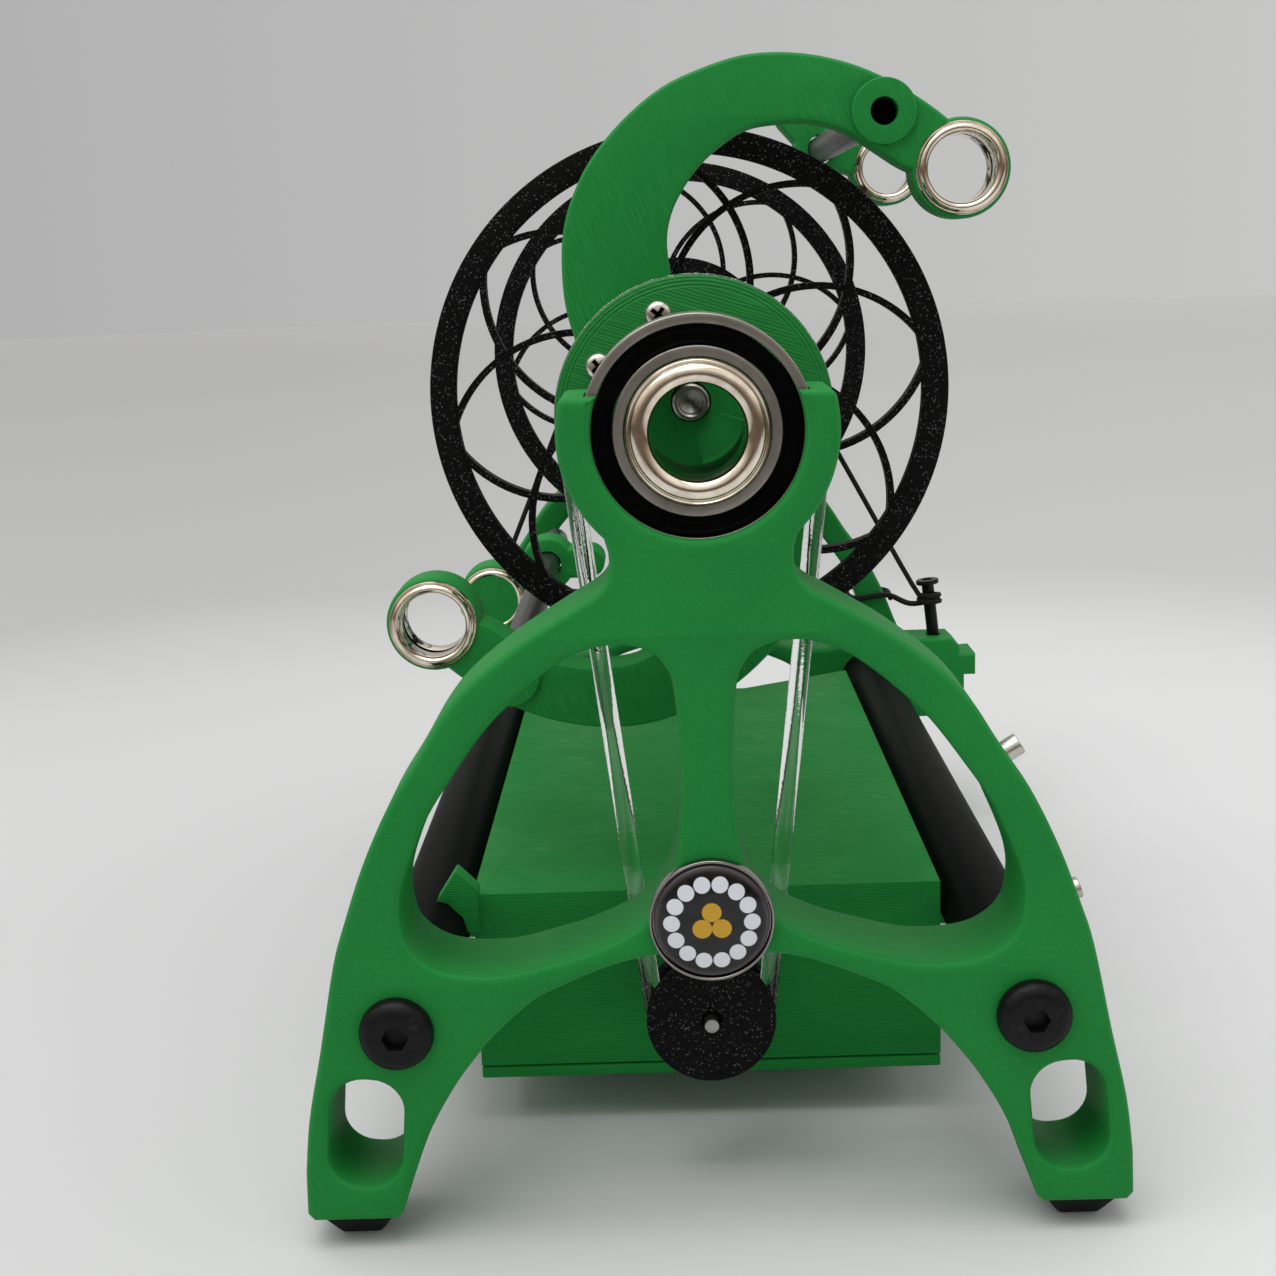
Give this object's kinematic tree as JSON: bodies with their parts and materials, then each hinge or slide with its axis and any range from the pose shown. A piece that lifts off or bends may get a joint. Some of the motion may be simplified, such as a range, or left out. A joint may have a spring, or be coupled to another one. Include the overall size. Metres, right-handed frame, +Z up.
{
  "type": "electric spinning wheel",
  "caption": "Small electric spinner with a printed frame: a sealed-bearing orifice, crescent flyer arms with yarn rings, a lace-flanged bobbin, a belt-driven motor and a cord brake.",
  "frame": {"origin": "centre of the bounding box at the surface that the feet stand on", "axes": "+Z up; the flyer's axis runs along Y with the orifice facing -Y; +X is to the right seen from the orifice's side"},
  "size_m": [0.1318, 0.238, 0.174],
  "materials": {
    "green_print": "printed bright green plastic with fine layer lines, slightly silky",
    "black_print": "printed black plastic with a fine glitter",
    "bearing_steel": "ground bearing steel",
    "bright_steel": "bright turned steel",
    "seal_rubber": "black sealing rubber with a light sheen",
    "badge_metal": "dark polished metal cup",
    "badge_dome": null,
    "satin_black_tube": "satin black tube",
    "dark_rod": "dark satin rod",
    "black_bolt": "black oxide steel",
    "foot_rubber": "black rubber foot",
    "circuit_board": "green circuit board",
    "motor_steel": "plated steel motor can",
    "clear_belt": "clear polyurethane round belt",
    "black_moulding": "black moulded plastic",
    "black_cord": "thin black braided cord",
    "nickel": "nickel-plated eyelet"
  },
  "bodies": {
    "frame": {"front_plate": "green_print", "edge_pin_upper": "bright_steel", "edge_pin_lower": "bright_steel", "front_bearing_race": "bearing_steel", "front_bearing_seals": "seal_rubber", "badge_cup": "badge_metal", "badge_dome": "badge_dome", "rear_plate": "green_print", "rear_bearing_race": "bearing_steel", "frame_tube_left": "satin_black_tube", "frame_tube_right": "satin_black_tube", "front_bolt_left": "black_bolt", "front_bolt_right": "black_bolt", "rear_bolt_left": "black_bolt", "rear_bolt_right": "black_bolt", "foot_front_left": "foot_rubber", "foot_front_right": "foot_rubber", "foot_rear_left": "foot_rubber", "foot_rear_right": "foot_rubber", "tension_block": "green_print", "base_box": "green_print", "base_cover": "green_print", "control_board": "circuit_board", "motor_body": "motor_steel", "drive_belt": "clear_belt", "speed_control": "black_moulding", "power_inlet": "black_moulding", "switch_housing": "black_moulding", "brake_cord": "black_cord"},
    "flyer": {"flyer_pulley": "green_print", "orifice_eyelet": "nickel", "front_bearing_inner": "bearing_steel", "flyer_arms": "green_print", "hub_screw_1": "bright_steel", "hub_screw_2": "bright_steel", "hub_screw_3": "bright_steel", "hub_screw_4": "bright_steel", "upper_ring_eyelet_front": "nickel", "upper_ring_eyelet_back": "nickel", "lower_ring_eyelet_front": "nickel", "lower_ring_eyelet_back": "nickel", "flyer_rod_upper": "dark_rod", "flyer_rod_lower": "dark_rod", "flyer_shaft": "bright_steel", "shaft_collar": "bright_steel", "rear_bearing_inner": "bearing_steel"},
    "upper_slider": {"guide_upper": "green_print", "guide_upper_eyelet_front": "nickel", "guide_upper_eyelet_back": "nickel"},
    "lower_slider": {"guide_lower": "green_print", "guide_lower_eyelet_front": "nickel", "guide_lower_eyelet_back": "nickel"},
    "bobbin": {"bobbin_flange_front": "black_print", "bobbin_flange_rear": "black_print", "bobbin_core": "black_print"},
    "motor_rotor": {"motor_shaft": "motor_steel", "motor_pulley": "black_print"},
    "knob": {"speed_knob": "black_moulding"},
    "rocker": {"power_rocker": "black_moulding"},
    "peg": {"tension_peg": "black_bolt"}
  },
  "joints": [
    {"name": "flyer_spin", "type": "hinge", "parent": "frame", "child": "flyer", "pos_m": [-0.0051, -0.0147, 0.119], "axis": [0, 1, 0], "continuous": true},
    {"name": "bobbin_spin", "type": "hinge", "parent": "flyer", "child": "bobbin", "pos_m": [-0.0051, -0.0147, 0.119], "axis": [0, 1, 0], "continuous": true},
    {"name": "upper_guide_slide", "type": "slide", "parent": "flyer", "child": "upper_slider", "axis": [0, 1, 0], "range_m": [-0.102, 0.025]},
    {"name": "lower_guide_slide", "type": "slide", "parent": "flyer", "child": "lower_slider", "axis": [0, 1, 0], "range_m": [-0.102, 0.025]},
    {"name": "motor_spin", "type": "hinge", "parent": "frame", "child": "motor_rotor", "pos_m": [-0.0051, -0.0887, 0.0245], "axis": [0, 1, 0], "continuous": true},
    {"name": "speed_knob_turn", "type": "hinge", "parent": "frame", "child": "knob", "pos_m": [-0.0051, 0.0753, 0.024], "axis": [0, -1, 0], "range_deg": [-140, 140]},
    {"name": "power_rocker_tilt", "type": "hinge", "parent": "frame", "child": "rocker", "pos_m": [0.0334, 0.0253, 0.0186], "axis": [0, 0, 1], "range_deg": [-16, 0]},
    {"name": "tension_peg_turn", "type": "hinge", "parent": "frame", "child": "peg", "pos_m": [0.0563, 0.0943, 0.0466], "axis": [-0.1045, 0, 0.9945], "range_deg": [-180, 180]}
  ],
  "couplings": [
    {"joint": "motor_spin", "follows": "flyer_spin", "ratio": 2.2045}
  ]
}
